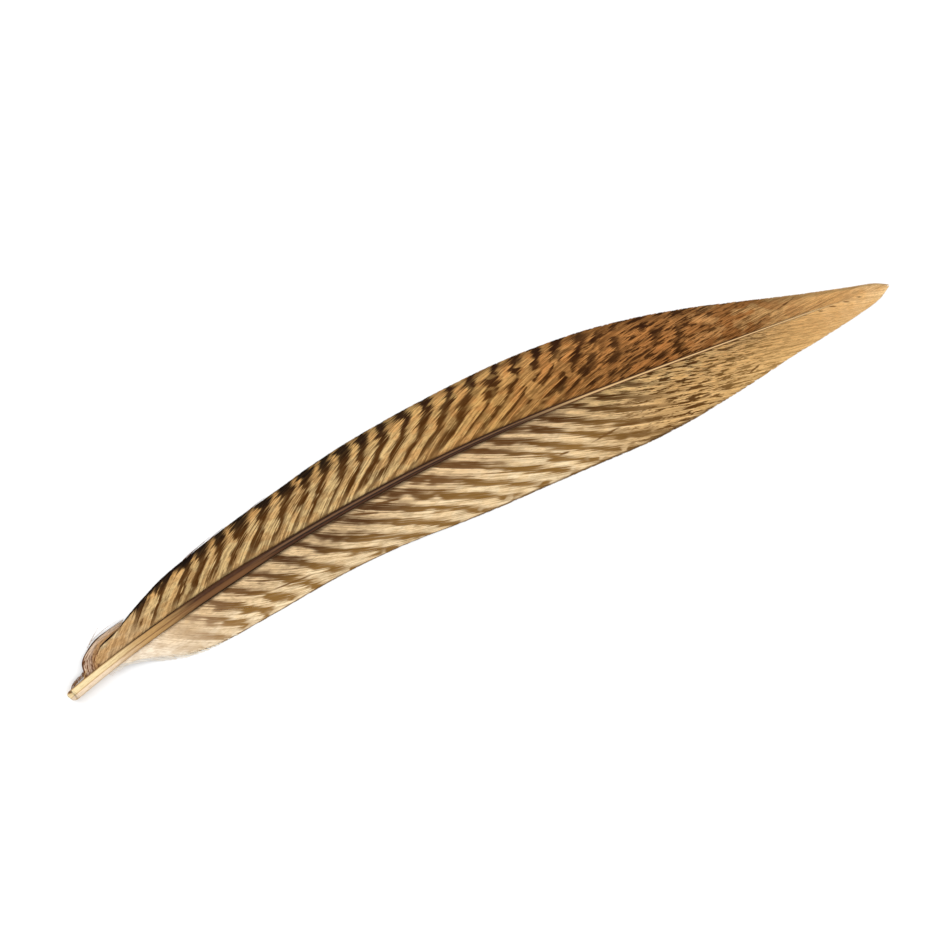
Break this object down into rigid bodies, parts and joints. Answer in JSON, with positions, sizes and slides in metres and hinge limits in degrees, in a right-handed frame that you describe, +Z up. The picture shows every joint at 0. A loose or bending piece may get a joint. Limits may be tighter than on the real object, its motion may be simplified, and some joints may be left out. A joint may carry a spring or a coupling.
{
  "type": "barred pheasant tail feather",
  "caption": "Long pointed tail feather with a cut quill, a bent dark shaft and two barred vanes, golden on the outer side and cream on the inner, lying top side up.",
  "frame": {"origin": "on the surface that the feather lies on, under the middle of its box", "axes": "+X along the feather from the cut quill to the tip, +Y towards the narrower outer vane, +Z up"},
  "size_m": [0.2018, 0.031, 0.0038],
  "materials": {
    "vane": "matt barred keratin vane, golden buff to cream with dark brown bars",
    "shaft": "satin horn, cream at the quill and dark brown along the shaft",
    "down": "soft off-white down"
  },
  "bodies": {
    "root": {"feather": "vane"}
  },
  "joints": []
}
